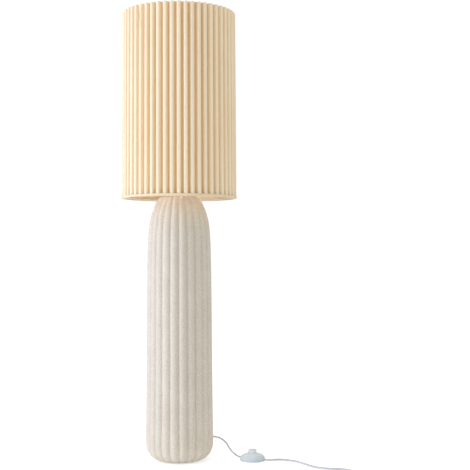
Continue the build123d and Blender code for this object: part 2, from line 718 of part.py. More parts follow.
# coil: outer shape of all its turns
with BuildPart() as cord_coil:
    with BuildSketch(Plane(origin=(COIL_X, COIL_Y, 0), x_dir=(1, 0, 0), z_dir=(0, -1, 0))):
        with Locations((COIL_R, (COIL_LOW + COIL_HIGH) / 2)):
            RectangleRounded(2 * COIL_HALF, COIL_HIGH - COIL_LOW, 2.4)
    revolve(axis=Axis((COIL_X, COIL_Y, 0), (0, 0, 1)))
cord_coil.part.label = "cord_coil"

TIE_AZ = 150.0
with BuildPart() as coil_tie:
    tie_o = (COIL_X + COIL_R * math.cos(rad(TIE_AZ)), COIL_Y + COIL_R * math.sin(rad(TIE_AZ)), (COIL_LOW + COIL_HIGH) / 2)
    with BuildSketch(Plane(origin=tie_o, x_dir=at_az(1, TIE_AZ), z_dir=at_az(1, TIE_AZ + 90))):
        RectangleRounded(2 * COIL_HALF + 3.0, COIL_HIGH - COIL_LOW + 1.9, 3.0)
        RectangleRounded(2 * COIL_HALF + 1.6, COIL_HIGH - COIL_LOW + 0.5, 2.2, mode=Mode.SUBTRACT)
    extrude(amount=4.0, both=True)
coil_tie.part.label = "coil_tie"

tail_points = [
    (417.0, -289.6, 13.6), (405.0, -291.4, 12.4), (392.5, -292.3, 9.8), (380.0, PLUG_Y, PLUG_Z), (PLUG_X, PLUG_Y, PLUG_Z),
]
with BuildPart() as cord_tail:
    with BuildLine() as tail_route:
        FilletPolyline(*tail_points, radius=corner_radii(tail_points, "cord_tail"))
    with BuildSketch(Plane(origin=tail_points[0], z_dir=Vector(tail_points[1]) - Vector(tail_points[0]))):
        Circle(CORD_D / 2)
    sweep()
cord_tail.part.label = "cord_tail"
report_tube("cord_tail", cord_tail.part, tail_route.wires()[0].length)

# ================================================================ plug
# two round pins, flat body lying on the floor, nose towards -X
with BuildPart() as plug_body:
    # relief: tapered, ribbed
    with BuildSketch(Plane(origin=(0, PLUG_Y, PLUG_Z), x_dir=(1, 0, 0), z_dir=(0, -1, 0))):
        with BuildLine():
            Polyline(
                (PLUG_X, 0), (PLUG_X, 3.6), (PLUG_X - 5, 4.0), (PLUG_X - 5, 3.4), (PLUG_X - 6.4, 3.4), (PLUG_X - 6.4, 4.1),
                (PLUG_X - 10, 4.4), (PLUG_X - 10, 3.7), (PLUG_X - 11.4, 3.7), (PLUG_X - 11.4, 4.5),
                (PLUG_X - 15, 4.8), (PLUG_X - 15, 4.1), (PLUG_X - 16.4, 4.1), (PLUG_X - 16.4, 4.9),
                (PLUG_X - 24, 5.6), (PLUG_X - 24, 0), (PLUG_X, 0),
            )
        make_face()
    revolve(axis=Axis((0, PLUG_Y, PLUG_Z), (1, 0, 0)))
    # body: flat, widening to the face
    with BuildSketch(Plane.XY.offset(0.15)):
        with BuildLine():
            Polyline(
                (PLUG_X - 20, PLUG_Y - 7.5), (PLUG_X - 20, PLUG_Y + 7.5), (PLUG_X - 28, PLUG_Y + 10.0), (PLUG_X - 38, PLUG_Y + 17.4),
                (PLUG_X - 56, PLUG_Y + 17.4), (PLUG_X - 56, PLUG_Y - 17.4), (PLUG_X - 38, PLUG_Y - 17.4), (PLUG_X - 28, PLUG_Y - 10.0),
                close=True,
            )
        make_face()
    extrude(amount=13.7)
    fillet(plug_body.edges().filter_by(Axis.Z).group_by(Axis.X)[0], 3.0)
    fillet(plug_body.faces().sort_by(Axis.Z)[-1].edges(), 2.4)
    fillet(plug_body.faces().sort_by(Axis.Z)[0].edges(), 2.4)
plug_body.part.label = "plug_body"

PIN_X = PLUG_X - 56.0
with BuildPart() as plug_pins:
    with BuildSketch(Plane(origin=(PIN_X, PLUG_Y, PLUG_Z), x_dir=(0, 1, 0), z_dir=(-1, 0, 0))):
        with Locations((9.5, 0), (-9.5, 0)):
            Circle(2.0)
    extrude(amount=19.0)
    fillet(plug_pins.edges().group_by(Axis.X)[0], 1.2)
    with BuildSketch(Plane(origin=(PIN_X, PLUG_Y, PLUG_Z), x_dir=(0, 1, 0), z_dir=(-1, 0, 0))):
        with Locations((9.5, 0), (-9.5, 0)):
            Circle(3.0)
            Circle(1.5, mode=Mode.SUBTRACT)
    extrude(amount=10.0, mode=Mode.SUBTRACT)
plug_pins.part.label = "plug_pins"

with BuildPart() as plug_pin_sleeves:
    with BuildSketch(Plane(origin=(PIN_X, PLUG_Y, PLUG_Z), x_dir=(0, 1, 0), z_dir=(-1, 0, 0))):
        with Locations((9.5, 0), (-9.5, 0)):
            Circle(1.98)
            Circle(1.52, mode=Mode.SUBTRACT)
    extrude(amount=9.9)
plug_pin_sleeves.part.label = "plug_pin_sleeves"

# ================================================================ files
export_step(ceramic_body.part, "parts/ceramic_body.step")
export_step(base_felt.part, "parts/base_felt.step")
export_step(base_plate.part, "parts/base_plate.step")
export_step(counterweight.part, "parts/counterweight.step")
export_step(centre_tube.part, "parts/centre_tube.step")
export_step(bottom_nut.part, "parts/bottom_nut.step")
export_step(top_gasket.part, "parts/top_gasket.step")
export_step(top_plate.part, "parts/top_plate.step")
export_step(top_nut.part, "parts/top_nut.step")
export_step(cord_bushing.part, "parts/cord_bushing.step")
export_step(bushing_nut.part, "parts/bushing_nut.step")
export_step(lead_clamp.part, "parts/lead_clamp.step")
export_step(inner_lead.part, "parts/inner_lead.step")
export_step(holder_cap.part, "parts/holder_cap.step")
export_step(holder_grub_screw.part, "parts/holder_grub_screw.step")
export_step(holder_shell.part, "parts/holder_shell.step")
export_step(holder_insert.part, "parts/holder_insert.step")
export_step(holder_thread_sleeve.part, "parts/holder_thread_sleeve.step")
export_step(holder_centre_contact.part, "parts/holder_centre_contact.step")
export_step(holder_terminal_screws.part, "parts/holder_terminal_screws.step")
export_step(bulb_cap.part, "parts/bulb_cap.step")
export_step(bulb_contact.part, "parts/bulb_contact.step")
export_step(bulb_housing.part, "parts/bulb_housing.step")
export_step(bulb_board.part, "parts/bulb_board.step")
export_step(bulb_diffuser.part, "parts/bulb_diffuser.step")
export_step(shade_pleats.part, "parts/shade_pleats.step")
export_step(shade_liner.part, "parts/shade_liner.step")
export_step(shade_band.part, "parts/shade_band.step")
export_step(shade_lower_ring.part, "parts/shade_lower_ring.step")
export_step(shade_upper_ring.part, "parts/shade_upper_ring.step")
export_step(shade_fitter.part, "parts/shade_fitter.step")
export_step(shade_arms.part, "parts/shade_arms.step")
export_step(retaining_ring.part, "parts/retaining_ring.step")
export_step(switch_base.part, "parts/switch_base.step")
export_step(switch_cover.part, "parts/switch_cover.step")
export_step(switch_feet.part, "parts/switch_feet.step")
export_step(switch_button.part, "parts/switch_button.step")
export_step(switch_spring.part, "parts/switch_spring.step")
export_step(switch_rotor.part, "parts/switch_rotor.step")
export_step(switch_contacts.part, "parts/switch_contacts.step")
export_step(switch_terminals.part, "parts/switch_terminals.step")
export_step(switch_terminal_screws.part, "parts/switch_terminal_screws.step")
export_step(switch_cord_clamps.part, "parts/switch_cord_clamps.step")
export_step(switch_screws.part, "parts/switch_screws.step")
export_step(cord_base_run.part, "parts/cord_base_run.step")
export_step(cord_switch_run.part, "parts/cord_switch_run.step")
export_step(cord_coil.part, "parts/cord_coil.step")
export_step(coil_tie.part, "parts/coil_tie.step")
export_step(cord_tail.part, "parts/cord_tail.step")
export_step(plug_body.part, "parts/plug_body.step")
export_step(plug_pins.part, "parts/plug_pins.step")
export_step(plug_pin_sleeves.part, "parts/plug_pin_sleeves.step")
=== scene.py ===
import bpy
import json
import math
import numpy as np
from mathutils import Matrix, Vector

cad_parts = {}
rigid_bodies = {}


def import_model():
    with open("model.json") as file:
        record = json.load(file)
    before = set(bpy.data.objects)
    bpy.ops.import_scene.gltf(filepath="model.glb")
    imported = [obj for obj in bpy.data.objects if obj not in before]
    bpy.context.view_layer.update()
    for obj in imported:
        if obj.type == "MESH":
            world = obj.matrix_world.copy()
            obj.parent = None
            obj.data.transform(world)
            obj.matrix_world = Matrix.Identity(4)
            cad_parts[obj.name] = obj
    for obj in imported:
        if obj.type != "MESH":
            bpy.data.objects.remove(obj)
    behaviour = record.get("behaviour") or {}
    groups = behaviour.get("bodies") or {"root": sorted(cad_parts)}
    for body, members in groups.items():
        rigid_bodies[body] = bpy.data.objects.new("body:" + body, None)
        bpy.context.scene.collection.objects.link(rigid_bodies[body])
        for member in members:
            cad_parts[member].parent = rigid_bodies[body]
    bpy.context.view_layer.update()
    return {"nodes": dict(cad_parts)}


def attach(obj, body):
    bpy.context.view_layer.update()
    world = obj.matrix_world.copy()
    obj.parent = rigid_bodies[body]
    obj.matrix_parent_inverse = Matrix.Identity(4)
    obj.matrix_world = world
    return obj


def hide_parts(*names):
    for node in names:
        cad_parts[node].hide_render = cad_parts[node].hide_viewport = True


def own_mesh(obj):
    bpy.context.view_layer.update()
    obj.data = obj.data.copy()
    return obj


for o in list(bpy.data.objects):
    bpy.data.objects.remove(o, do_unlink=True)

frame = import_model()
nodes = frame["nodes"]
scene = bpy.context.scene

MM = 0.001
TAU = 2 * math.pi


def at_az(r, deg, z=0.0):
    return (r * math.cos(math.radians(deg)), r * math.sin(math.radians(deg)), z)


# ------------------------------------------------------------------ camera
cam_data = bpy.data.cameras.new("camera")
cam = bpy.data.objects.new("camera", cam_data)
scene.collection.objects.link(cam)
scene.camera = cam
cam_data.sensor_fit = "HORIZONTAL"
cam_data.sensor_width = 36.0
cam_data.lens = 36.0 * 965.7 / 470.0
cam_data.clip_start, cam_data.clip_end = 0.05, 60.0
PITCH, ROLL = 0.0164, 0.00253
right0 = Vector((1, 0, 0))
up0 = Vector((0, -math.sin(PITCH), math.cos(PITCH)))
back0 = Vector((0, -math.cos(PITCH), -math.sin(PITCH)))
right = right0 * math.cos(ROLL) - up0 * math.sin(ROLL)
up = right0 * math.sin(ROLL) + up0 * math.cos(ROLL)
m = Matrix((right, up, back0)).transposed().to_4x4()
m.translation = Vector((0.1555, -2.6944, 0.579))
cam.matrix_world = m

# ------------------------------------------------------------------ node tools
def new_material(name):
    mat = bpy.data.materials.new(name)
    mat.use_nodes = True
    nt = mat.node_tree
    nt.nodes.clear()
    out = nt.nodes.new("ShaderNodeOutputMaterial")
    bsdf = nt.nodes.new("ShaderNodeBsdfPrincipled")
    nt.links.new(bsdf.outputs["BSDF"], out.inputs["Surface"])
    return mat, nt, bsdf


def put(nt, kind, **values):
    n = nt.nodes.new(kind)
    for k, v in values.items():
        if k.startswith("in_"):
            key = k[3:]
            sock = n.inputs[int(key)] if key.isdigit() else n.inputs[key.replace("_", " ")]
            sock.default_value = v
        else:
            setattr(n, k, v)
    return n


def coords(nt, scale=(1, 1, 1), source="Object"):
    tc = put(nt, "ShaderNodeTexCoord")
    mp = put(nt, "ShaderNodeMapping")
    mp.inputs["Scale"].default_value = scale
    nt.links.new(tc.outputs[source], mp.inputs["Vector"])
    return mp.outputs["Vector"]


def noise(nt, vec, scale, detail=2.0, rough=0.5, distortion=0.0):
    n = put(nt, "ShaderNodeTexNoise")
    n.inputs["Scale"].default_value = scale
    n.inputs["Detail"].default_value = detail
    n.inputs["Roughness"].default_value = rough
    n.inputs["Distortion"].default_value = distortion
    nt.links.new(vec, n.inputs["Vector"])
    return n.outputs["Fac"]


def cells(nt, vec, scale, feature="F1", randomness=1.0):
    n = put(nt, "ShaderNodeTexVoronoi")
    n.feature = feature
    n.inputs["Scale"].default_value = scale
    n.inputs["Randomness"].default_value = randomness
    nt.links.new(vec, n.inputs["Vector"])
    return n


def ranged(nt, value, a, b, c, d, smooth=False):
    n = put(nt, "ShaderNodeMapRange")
    if smooth:
        n.interpolation_type = "SMOOTHSTEP"
    n.inputs["From Min"].default_value = a
    n.inputs["From Max"].default_value = b
    n.inputs["To Min"].default_value = c
    n.inputs["To Max"].default_value = d
    nt.links.new(value, n.inputs["Value"])
    return n.outputs["Result"]


def calc(nt, op, a, b=None, c=None):
    n = put(nt, "ShaderNodeMath")
    n.operation = op
    for i, v in enumerate((a, b, c)):
        if v is None:
            continue
        if isinstance(v, (int, float)):
            n.inputs[i].default_value = v
        else:
            nt.links.new(v, n.inputs[i])
    return n.outputs[0]


def mixed(nt, fac, a, b, mode="MIX"):
    n = put(nt, "ShaderNodeMix")
    n.data_type = "RGBA"
    n.blend_type = mode
    n.clamp_factor = True
    for sock, v in ((n.inputs[0], fac), (n.inputs[6], a), (n.inputs[7], b)):
        if isinstance(v, (int, float)):
            sock.default_value = v
        elif isinstance(v, tuple):
            sock.default_value = v if len(v) == 4 else (*v, 1.0)
        else:
            nt.links.new(v, sock)
    return n.outputs[2]


def bumped(nt, bsdf, height, strength, distance):
    n = put(nt, "ShaderNodeBump")
    n.inputs["Strength"].default_value = strength
    n.inputs["Distance"].default_value = distance
    nt.links.new(height, n.inputs["Height"])
    nt.links.new(n.outputs["Normal"], bsdf.inputs["Normal"])
    return n


def lin(r, g, b):
    """0-255 screen values to scene-linear."""
    out = []
    for v in (r, g, b):
        v /= 255.0
        out.append(v / 12.92 if v <= 0.04045 else ((v + 0.055) / 1.055) ** 2.4)
    return tuple(out)


# ------------------------------------------------------------------ materials
def stoneware():
    """Matt off-white glaze with sandy speckle, mottling and a little iron spotting."""
    mat, nt, b = new_material("stoneware_glaze")
    v = coords(nt)
    base = lin(219, 213, 201)
    cloud = noise(nt, v, 14.0, 3.0, 0.55)
    col = mixed(nt, ranged(nt, cloud, 0.35, 0.68, 0.0, 1.0), base, lin(214, 207, 193))
    # glaze broken by fine sand, about a millimetre
    sand = noise(nt, v, 520.0, 4.0, 0.72)
    col = mixed(nt, ranged(nt, sand, 0.48, 0.60, 0.0, 0.48), col, lin(174, 165, 146))
    pale = noise(nt, v, 330.0, 1.0, 0.5)
    col = mixed(nt, ranged(nt, pale, 0.55, 0.68, 0.0, 0.45), col, lin(232, 228, 219))
    # iron spots: small, sparse, uneven
    spot = cells(nt, v, 210.0)
    near = ranged(nt, spot.outputs["Distance"], 0.10, 0.24, 1.0, 0.0, True)
    sep = put(nt, "ShaderNodeSeparateColor")
    nt.links.new(spot.outputs["Color"], sep.inputs[0])
    chosen = ranged(nt, sep.outputs[0], 0.80, 0.86, 0.0, 1.0)
    spots = calc(nt, "MULTIPLY", near, chosen)
    col = mixed(nt, calc(nt, "MULTIPLY", spots, 0.50), col, lin(144, 126, 98))
    # bare clay at the very foot
    geo = put(nt, "ShaderNodeSeparateXYZ")
    nt.links.new(coords(nt), geo.inputs[0])
    edge = calc(nt, "ADD", geo.outputs["Z"], ranged(nt, noise(nt, v, 90.0, 2.0), 0.3, 0.7, -0.0012, 0.0012))
    foot = ranged(nt, edge, 0.0026, 0.0036, 1.0, 0.0)
    col = mixed(nt, foot, col, lin(196, 178, 150))
    nt.links.new(col, b.inputs["Base Color"])
    rough = calc(nt, "ADD", ranged(nt, sand, 0.3, 0.7, 0.50, 0.66), calc(nt, "MULTIPLY", foot, 0.2))
    nt.links.new(rough, b.inputs["Roughness"])
    b.inputs["Specular IOR Level"].default_value = 0.36
    h = calc(nt, "ADD", calc(nt, "MULTIPLY", sand, 0.5), calc(nt, "MULTIPLY", noise(nt, v, 160.0, 3.0, 0.6), 0.8))
    h = calc(nt, "SUBTRACT", h, calc(nt, "MULTIPLY", spots, 0.5))
    bumped(nt, b, h, 0.42, 0.0009)
    return mat


def pleat_fabric():
    """Plain-woven cream cotton and linen, threads at half a millimetre, with slubs."""
    mat, nt, b = new_material("pleated_linen")
    uv = put(nt, "ShaderNodeUVMap", uv_map="cloth")
    sep = put(nt, "ShaderNodeSeparateXYZ")
    nt.links.new(uv.outputs["UV"], sep.inputs[0])
    u, w = sep.outputs["X"], sep.outputs["Y"]
    k = TAU / 0.00062
    warp = calc(nt, "SINE", calc(nt, "MULTIPLY", u, k))
    weft = calc(nt, "SINE", calc(nt, "MULTIPLY", w, k))
    weave = calc(nt, "MULTIPLY", warp, weft)
    # slubs: thicker threads, long along the thread and narrow across
    def slub(scale):
        mp = put(nt, "ShaderNodeMapping")
        mp.inputs["Scale"].default_value = scale
        nt.links.new(uv.outputs["UV"], mp.inputs["Vector"])
        return noise(nt, mp.outputs["Vector"], 1.0, 2.0, 0.55)
    across = slub((60.0, 1100.0, 1.0))
    along = slub((1100.0, 42.0, 1.0))
    base = lin(248, 233, 205)
    col = mixed(nt, ranged(nt, slub((9.0, 5.0, 1.0)), 0.35, 0.65, 0.0, 1.0), base, lin(246, 229, 199))
    col = mixed(nt, ranged(nt, across, 0.56, 0.72, 0.0, 0.24), col, lin(232, 212, 178))
    col = mixed(nt, ranged(nt, along, 0.56, 0.72, 0.0, 0.26), col, lin(234, 214, 180))
    col = mixed(nt, ranged(nt, weave, -1.0, 1.0, 0.07, 0.0), col, lin(215, 190, 150))
    # painted shade: cloth deep in the folds is tinted darker and warmer, for the shade and warm bounced light between
    # the pleats
    painted_fold_shade = put(nt, "ShaderNodeAttribute", attribute_name="painted_fold_shade")
    col = mixed(nt, calc(nt, "MULTIPLY", painted_fold_shade.outputs["Fac"], 0.7), col, lin(238, 204, 156))
    nt.links.new(col, b.inputs["Base Color"])
    nt.links.new(ranged(nt, along, 0.3, 0.7, 0.82, 0.94), b.inputs["Roughness"])
    b.inputs["Specular IOR Level"].default_value = 0.12
    b.inputs["Sheen Weight"].default_value = 0.12
    b.inputs["Sheen Roughness"].default_value = 0.5
    h = calc(nt, "ADD", calc(nt, "MULTIPLY", weave, 0.35), calc(nt, "ADD", along, across))
    bumped(nt, b, h, 0.30, 0.0004)
    return mat


def tape_fabric():
    """Hem tape of the same cloth, cut on the bias."""
    mat, nt, b = new_material("hem_tape")
    v = coords(nt)
    fine = noise(nt, v, 900.0, 2.0, 0.6)
    col = mixed(nt, ranged(nt, noise(nt, v, 45.0, 2.0), 0.35, 0.65, 0.0, 1.0), lin(238, 220, 190), lin(234, 213, 180))
    col = mixed(nt, ranged(nt, fine, 0.5, 0.72, 0.0, 0.4), col, lin(216, 194, 158))
    nt.links.new(col, b.inputs["Base Color"])
    nt.links.new(ranged(nt, fine, 0.3, 0.7, 0.80, 0.92), b.inputs["Roughness"])
    b.inputs["Specular IOR Level"].default_value = 0.15
    bumped(nt, b, fine, 0.3, 0.0005)
    return mat


def liner_plastic():
    """Laminated shade liner: fine felted grain, warm white."""
    mat, nt, b = new_material("liner_sheet")
    v = coords(nt)
    grain = noise(nt, v, 700.0, 3.0, 0.6)
    col = mixed(nt, ranged(nt, grain, 0.4, 0.7, 0.0, 0.5), lin(250, 236, 210), lin(240, 221, 188))
    col = mixed(nt, ranged(nt, noise(nt, v, 12.0, 2.0), 0.35, 0.7, 0.0, 0.4), col, lin(244, 227, 197))
    nt.links.new(col, b.inputs["Base Color"])
    nt.links.new(ranged(nt, grain, 0.3, 0.7, 0.42, 0.56), b.inputs["Roughness"])
    b.inputs["Specular IOR Level"].default_value = 0.4
    bumped(nt, b, grain, 0.12, 0.0003)
    return mat


def moulded(name, color, rough=0.42, worn=None, grain_scale=1500.0, grain=0.10, spec=0.45, blotch=0.35, painted_low_shade=None):
    """Moulded plastic: fine spark texture, slight flow marks and handling dust; optionally painted shade, darker
    towards the lower rim.
    """
    mat, nt, b = new_material(name)
    v = coords(nt)
    g = noise(nt, v, grain_scale, 2.0, 0.6)
    flow = noise(nt, v, 55.0, 3.0, 0.55)
    worn = worn or tuple(c * 0.9 for c in color)
    col = mixed(nt, ranged(nt, flow, 0.38, 0.7, 0.0, blotch), color, worn)
    col = mixed(nt, ranged(nt, g, 0.5, 0.75, 0.0, 0.25), col, tuple(c * 0.82 for c in color))
    if painted_low_shade:
        # painted shade: the colour darkens towards the lower rim, standing in for the shadow near the floor
        low, high, share = painted_low_shade
        sep = put(nt, "ShaderNodeSeparateXYZ")
        nt.links.new(v, sep.inputs[0])
        ragged = calc(nt, "ADD", sep.outputs["Z"], ranged(nt, flow, 0.3, 0.7, -0.0008, 0.0008))
        col = mixed(nt, ranged(nt, ragged, low, high, share, 0.0), col, tuple(c * 0.5 for c in color))
    nt.links.new(col, b.inputs["Base Color"])
    nt.links.new(calc(nt, "ADD", ranged(nt, g, 0.3, 0.7, rough - 0.05, rough + 0.06), ranged(nt, flow, 0.3, 0.7, -0.03, 0.05)), b.inputs["Roughness"])
    b.inputs["Specular IOR Level"].default_value = spec
    bumped(nt, b, g, grain, 0.0003)
    return mat


def metal(name, color, rough=0.32, scratch=0.25, dull=None):
    """Plated or drawn metal with fine brushing and dull patches."""
    mat, nt, b = new_material(name)
    v = coords(nt, (1.0, 1.0, 9.0))
    brush = noise(nt, v, 260.0, 3.0, 0.6)
    patch = noise(nt, coords(nt), 70.0, 3.0, 0.6)
    dull = dull or tuple(c * 0.72 for c in color)
    col = mixed(nt, ranged(nt, patch, 0.45, 0.72, 0.0, 0.6), color, dull)
    nt.links.new(col, b.inputs["Base Color"])
    b.inputs["Metallic"].default_value = 1.0
    nt.links.new(calc(nt, "ADD", ranged(nt, brush, 0.3, 0.7, rough - 0.06, rough + 0.08), ranged(nt, patch, 0.45, 0.72, 0.0, 0.12)), b.inputs["Roughness"])
    bumped(nt, b, brush, scratch, 0.0002)
    return mat


def painted(name, color, rough=0.45):
    """Powder coat with light orange peel."""
    mat, nt, b = new_material(name)
    v = coords(nt)
    peel = noise(nt, v, 420.0, 2.0, 0.5)
    tone = noise(nt, v, 30.0, 2.0, 0.5)
    col = mixed(nt, ranged(nt, tone, 0.35, 0.7, 0.0, 0.5), color, tuple(c * 0.93 for c in color))
    nt.links.new(col, b.inputs["Base Color"])
    nt.links.new(ranged(nt, peel, 0.3, 0.7, rough - 0.05, rough + 0.07), b.inputs["Roughness"])
    bumped(nt, b, peel, 0.18, 0.0004)
    return mat


def cast():
    mat, nt, b = new_material("cast_iron")
    v = coords(nt)
    g = noise(nt, v, 330.0, 4.0, 0.65)
    col = mixed(nt, ranged(nt, g, 0.4, 0.7, 0.0, 1.0), lin(52, 50, 50), lin(86, 76, 68))
    nt.links.new(col, b.inputs["Base Color"])
    b.inputs["Metallic"].default_value = 0.6
    nt.links.new(ranged(nt, g, 0.3, 0.7, 0.55, 0.85), b.inputs["Roughness"])
    bumped(nt, b, g, 0.5, 0.0008)
    return mat


def felt():
    mat, nt, b = new_material("felt")
    v = coords(nt)
    hair = noise(nt, v, 900.0, 4.0, 0.7, 0.6)
    col = mixed(nt, ranged(nt, hair, 0.35, 0.7, 0.0, 1.0), lin(196, 190, 178), lin(150, 144, 132))
    nt.links.new(col, b.inputs["Base Color"])
    nt.links.new(ranged(nt, hair, 0.3, 0.7, 0.88, 0.98), b.inputs["Roughness"])
    b.inputs["Specular IOR Level"].default_value = 0.05
    b.inputs["Sheen Weight"].default_value = 0.3
    bumped(nt, b, hair, 0.6, 0.0008)
    return mat


def cork():
    mat, nt, b = new_material("cork")
    v = coords(nt)
    c = cells(nt, v, 420.0)
    sep = put(nt, "ShaderNodeSeparateColor")
    nt.links.new(c.outputs["Color"], sep.inputs[0])
    col = mixed(nt, sep.outputs[0], lin(176, 134, 92), lin(140, 98, 62))
    nt.links.new(col, b.inputs["Base Color"])
    nt.links.new(ranged(nt, sep.outputs[1], 0.0, 1.0, 0.75, 0.92), b.inputs["Roughness"])
    bumped(nt, b, c.outputs["Distance"], 0.4, 0.0006)
    return mat


def cord_sheath(name="cord_sheath", color=lin(204, 206, 211)):
    """Satin PVC sheath: faint extrusion marks and dust."""
    mat, nt, b = new_material(name)
    v = coords(nt)
    dust = noise(nt, v, 240.0, 3.0, 0.6)
    fine = noise(nt, v, 1300.0, 2.0, 0.5)
    col = mixed(nt, ranged(nt, dust, 0.42, 0.75, 0.0, 0.5), color, tuple(c * 0.86 for c in color))
    nt.links.new(col, b.inputs["Base Color"])
    nt.links.new(ranged(nt, fine, 0.3, 0.7, 0.40, 0.55), b.inputs["Roughness"])
    b.inputs["Specular IOR Level"].default_value = 0.4
    bumped(nt, b, fine, 0.12, 0.0002)
    return mat


def opal():
    """Opal polycarbonate: milky, satin, light goes a little way in."""
    mat, nt, b = new_material("opal_diffuser")
    v = coords(nt)
    g = noise(nt, v, 900.0, 2.0, 0.5)
    col = mixed(nt, ranged(nt, noise(nt, v, 25.0, 2.0), 0.35, 0.7, 0.0, 0.6), lin(248, 246, 240), lin(240, 236, 226))
    nt.links.new(col, b.inputs["Base Color"])
    nt.links.new(ranged(nt, g, 0.3, 0.7, 0.34, 0.44), b.inputs["Roughness"])
    b.inputs["Subsurface Weight"].default_value = 0.25
    b.inputs["Subsurface Radius"].default_value = (0.006, 0.005, 0.004)
    bumped(nt, b, g, 0.06, 0.0002)
    return mat


M = {
    "stoneware": stoneware(),
    "pleats": pleat_fabric(),
    "tape": tape_fabric(),
    "liner": liner_plastic(),
    "white": moulded("white_plastic", lin(232, 231, 226), 0.40),
    # switch cover darkened towards its lower rim: painted shade near the floor
    "switch": moulded("switch_plastic", lin(219, 232, 241), 0.46, worn=lin(213, 226, 236), grain_scale=1100.0, grain=0.16, painted_low_shade=(0.0015, 0.0165, 0.52)),
    "button": moulded("button_plastic", lin(225, 233, 239), 0.42, worn=lin(219, 227, 234), grain_scale=1300.0, grain=0.12),
    "bulb_white": moulded("bulb_plastic", lin(238, 238, 234), 0.34, grain=0.05),
    "cord_plastic": moulded("cord_plastic", lin(226, 228, 231), 0.44, grain_scale=900.0, grain=0.16),
    "sleeve": moulded("pin_sleeve", lin(48, 48, 50), 0.45),
    "tie": moulded("tie_strap", lin(226, 226, 224), 0.5, grain_scale=600.0, grain=0.25),
    "rubber": moulded("rubber", lin(92, 94, 96), 0.7, grain_scale=800.0, grain=0.3, spec=0.3),
    "insert": moulded("insert_ceramic", lin(232, 230, 222), 0.55, grain_scale=1800.0, grain=0.1),
    "board": moulded("led_board", lin(238, 238, 232), 0.36),
    "cream": painted("cream_metal", lin(238, 232, 218)),
    "zinc": metal("zinc_steel", (0.62, 0.62, 0.62), 0.36),
    "nickel": metal("nickel", (0.66, 0.65, 0.62), 0.24, 0.12),
    "brass": metal("brass", (0.72, 0.52, 0.24), 0.30, 0.18),
    "spring": metal("spring_steel", (0.50, 0.50, 0.51), 0.30, 0.15),
    "iron": cast(),
    "felt": felt(),
    "cork": cork(),
    "cord": cord_sheath(),
    "opal": opal(),
}

CAD_LOOK = {
    "ceramic_body": "stoneware", "base_felt": "felt", "base_plate": "zinc", "counterweight": "iron", "centre_tube": "zinc",
    "bottom_nut": "zinc", "top_gasket": "cork", "top_plate": "cream", "top_nut": "zinc", "cord_bushing": "cord_plastic",
    "bushing_nut": "white", "lead_clamp": "white", "inner_lead": "cord", "holder_cap": "white", "holder_grub_screw": "zinc",
    "holder_shell": "white", "holder_insert": "insert", "holder_thread_sleeve": "brass", "holder_centre_contact": "brass",
    "holder_terminal_screws": "brass", "bulb_cap": "nickel", "bulb_contact": "brass", "bulb_housing": "bulb_white",
    "bulb_board": "board", "bulb_diffuser": "opal", "shade_pleats": "pleats", "shade_liner": "liner", "shade_band": "tape",
    "shade_lower_ring": "cream", "shade_upper_ring": "cream", "shade_fitter": "cream", "shade_arms": "cream",
    "retaining_ring": "white", "switch_base": "switch", "switch_cover": "switch", "switch_feet": "rubber",
    "switch_button": "button", "switch_spring": "spring", "switch_rotor": "white", "switch_contacts": "brass",
    "switch_terminals": "brass", "switch_terminal_screws": "zinc", "switch_cord_clamps": "white", "switch_screws": "zinc",
    "cord_base_run": "cord", "cord_switch_run": "cord", "cord_coil": "cord", "coil_tie": "tie", "cord_tail": "cord",
    "plug_body": "cord_plastic", "plug_pins": "nickel", "plug_pin_sleeves": "sleeve",
}
for name, look in CAD_LOOK.items():
    o = nodes[name]
    o.data.materials.clear()
    o.data.materials.append(M[look])


# ------------------------------------------------------------------ mesh tools
def mesh_object(name, verts, faces, material, smooth=True, uvs=None, painted_fold_shade=None):
    me = bpy.data.meshes.new(name)
    me.from_pydata([tuple(map(float, v)) for v in verts], [], faces)
    me.update()
    if uvs is not None:
        layer = me.uv_layers.new(name="cloth")
        idx = np.zeros(len(me.loops), np.int64)
        me.loops.foreach_get("vertex_index", idx)
        layer.data.foreach_set("uv", np.asarray(uvs, np.float32)[idx].ravel())
    # per-vertex amount of painted shade in the pleats' folds, read by the cloth material
    if painted_fold_shade is not None:
        at = me.attributes.new("painted_fold_shade", "FLOAT", "POINT")
        at.data.foreach_set("value", np.asarray(painted_fold_shade, np.float32))
    me.materials.append(material)
    if smooth:
        me.polygons.foreach_set("use_smooth", [True] * len(me.polygons))
    o = bpy.data.objects.new(name, me)
    scene.collection.objects.link(o)
    return o


def torus_grid(nu, nv):
    """Faces of an nu by nv grid closed both ways; vertex index is u * nv + v."""
    u, v = np.meshgrid(np.arange(nu), np.arange(nv), indexing="ij")
    u2, v2 = (u + 1) % nu, (v + 1) % nv
    return np.stack([u * nv + v, u2 * nv + v, u2 * nv + v2, u * nv + v2], -1).reshape(-1, 4).tolist()


def smooth_noise(rng, n, waves, closed=True):
    """A closed random curve of n samples, about -1 to 1, made of low waves."""
    t = np.linspace(0, TAU, n, endpoint=False)
    out = np.zeros(n)
    for k in range(1, waves + 1):
        out += rng.normal() * np.cos(k * t + rng.uniform(0, TAU)) / math.sqrt(waves)
    return out


# ------------------------------------------------------------------ stoneware body
BODY_PROFILE = [
    (1.5, 51.0), (3.0, 61.6), (7.3, 71.9), (14.0, 80.7), (22.9, 87.4),
    (33.4, 91.7), (45.0, 93.3), (82.0, 93.2), (165.0, 92.2), (250.0, 91.2),
    (345.0, 90.6), (440.0, 90.0), (525.0, 89.1), (580.0, 88.0), (615.0, 86.6),
    (640.0, 84.8), (662.0, 81.8), (680.0, 77.6), (697.0, 71.5), (711.0, 65.2),
    (722.0, 58.8), (731.5, 51.2), (738.5, 42.6), (743.0, 32.5),
]
RIBS, RIB_VALLEY_AT, RIB_DEPTH, BODY_R = 23, -88.0, 6.4, 93.3
ENTRY_AZ, ENTRY_Z = 44.0, 46.5


